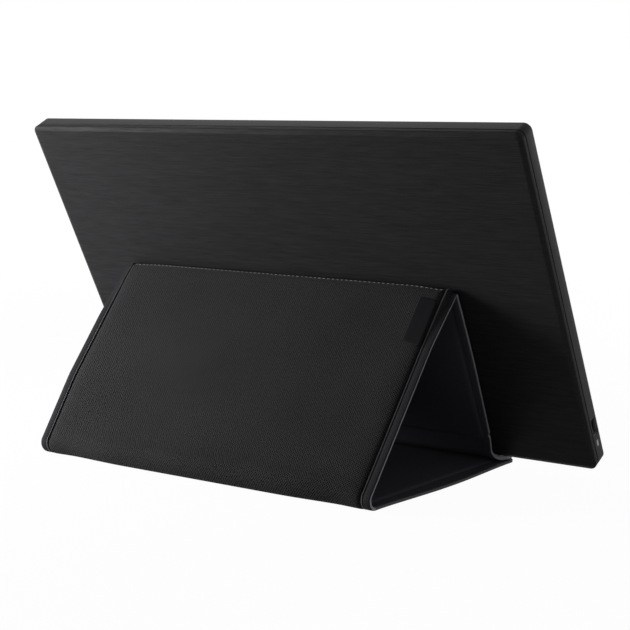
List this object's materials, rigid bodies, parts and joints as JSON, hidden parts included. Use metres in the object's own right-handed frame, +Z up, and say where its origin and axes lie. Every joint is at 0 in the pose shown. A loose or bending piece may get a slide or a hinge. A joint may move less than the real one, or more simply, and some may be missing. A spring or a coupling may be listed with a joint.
{
  "type": "portable monitor with folding stand cover",
  "caption": "Flat portable monitor standing tilted on a folded fabric cover whose boards form a triangular stand and tray.",
  "frame": {"origin": "on the table plane, below the middle of the monitor's lower rear edge", "axes": "+X along the monitor's width, -Y the way the screen faces, +Z up from the table"},
  "size_m": [0.3824, 0.1723, 0.2216],
  "materials": {
    "case": "moulded dark grey plastic, back panel with fine horizontal hairlines",
    "screen_glass": "matt dark display surface",
    "film": "white film",
    "clear_acrylic": "clear acrylic",
    "lamp_board": "white circuit strip with lamps",
    "steel": "plated steel sheet",
    "board": "green circuit board",
    "chip": "black moulded package",
    "ribbon": "amber flat cable",
    "light_window": "pale clear light window",
    "key": "moulded dark grey button",
    "cover_fabric": "dark grey woven cover fabric",
    "lining": "smooth dark microfibre lining",
    "stiffener": "pressed board",
    "magnet": "nickel-plated magnet",
    "label": "smooth dark bare label"
  },
  "bodies": {
    "floor_panel": {"floor_fabric": "cover_fabric", "floor_board": "stiffener", "floor_lining": "lining", "floor_magnets": "magnet", "rear_fold_fabric": "cover_fabric"},
    "slope_panel": {"slope_fabric": "cover_fabric", "slope_board": "stiffener", "slope_lining": "lining", "ridge_fold_fabric": "cover_fabric", "sewn_label": "label"},
    "lean_panel": {"lean_fabric": "cover_fabric", "lean_board": "stiffener", "lean_lining": "lining", "foot_fold_fabric": "cover_fabric"},
    "tray_panel": {"tray_fabric": "cover_fabric", "tray_board": "stiffener", "tray_lining": "lining", "tray_magnets": "magnet"},
    "monitor": {"rear_cover": "case", "front_frame": "case", "display_cell": "screen_glass", "optical_sheets": "film", "light_guide": "clear_acrylic", "reflector_sheet": "film", "lamp_strip": "lamp_board", "display_pan": "steel", "driver_board": "board", "main_board": "board", "board_chips": "chip", "board_screws": "steel", "display_ribbon": "ribbon", "button_ribbon": "ribbon", "button_board": "board", "button_switches": "chip", "socket_shell": "steel", "socket_tongue": "chip", "indicator_light": "light_window", "power_led": "light_window"},
    "power_key": {"power_button": "key"},
    "brightness_key": {"brightness_button": "key"}
  },
  "joints": [
    {"name": "monitor_lift", "type": "slide", "parent": "floor_panel", "child": "monitor", "axis": [0, -0.5, 0.866], "range_m": [0, 0.38]},
    {"name": "rear_fold", "type": "hinge", "parent": "floor_panel", "child": "slope_panel", "pos_m": [0, 0.15773, 0.00362], "axis": [-1, 0, 0], "range_deg": [0, 128.4], "deforming": ["rear_fold_fabric"]},
    {"name": "ridge_fold", "type": "hinge", "parent": "slope_panel", "child": "lean_panel", "pos_m": [0, 0.06525, 0.12074], "axis": [1, 0, 0], "range_deg": [0, 64.7], "deforming": ["ridge_fold_fabric"]},
    {"name": "foot_fold", "type": "hinge", "parent": "lean_panel", "child": "tray_panel", "pos_m": [0, 0.00537, 0.00581], "axis": [1, 0, 0], "range_deg": [0, 63.7], "deforming": ["foot_fold_fabric"]},
    {"name": "power_press", "type": "slide", "parent": "monitor", "child": "power_key", "axis": [0, 0.8861, -0.4635], "range_m": [0, 0.0006], "stiffness_N_per_m": 1500, "springref_m": -0.0005},
    {"name": "brightness_press", "type": "slide", "parent": "monitor", "child": "brightness_key", "axis": [0, 0.8861, -0.4635], "range_m": [0, 0.0006], "stiffness_N_per_m": 1500, "springref_m": -0.0005}
  ],
  "couplings": [
    {"joint": "rear_fold", "follows": "monitor_lift", "rad_per_m": 5.8974},
    {"joint": "ridge_fold", "follows": "monitor_lift", "rad_per_m": 2.9716},
    {"joint": "foot_fold", "follows": "monitor_lift", "rad_per_m": 2.9257}
  ]
}
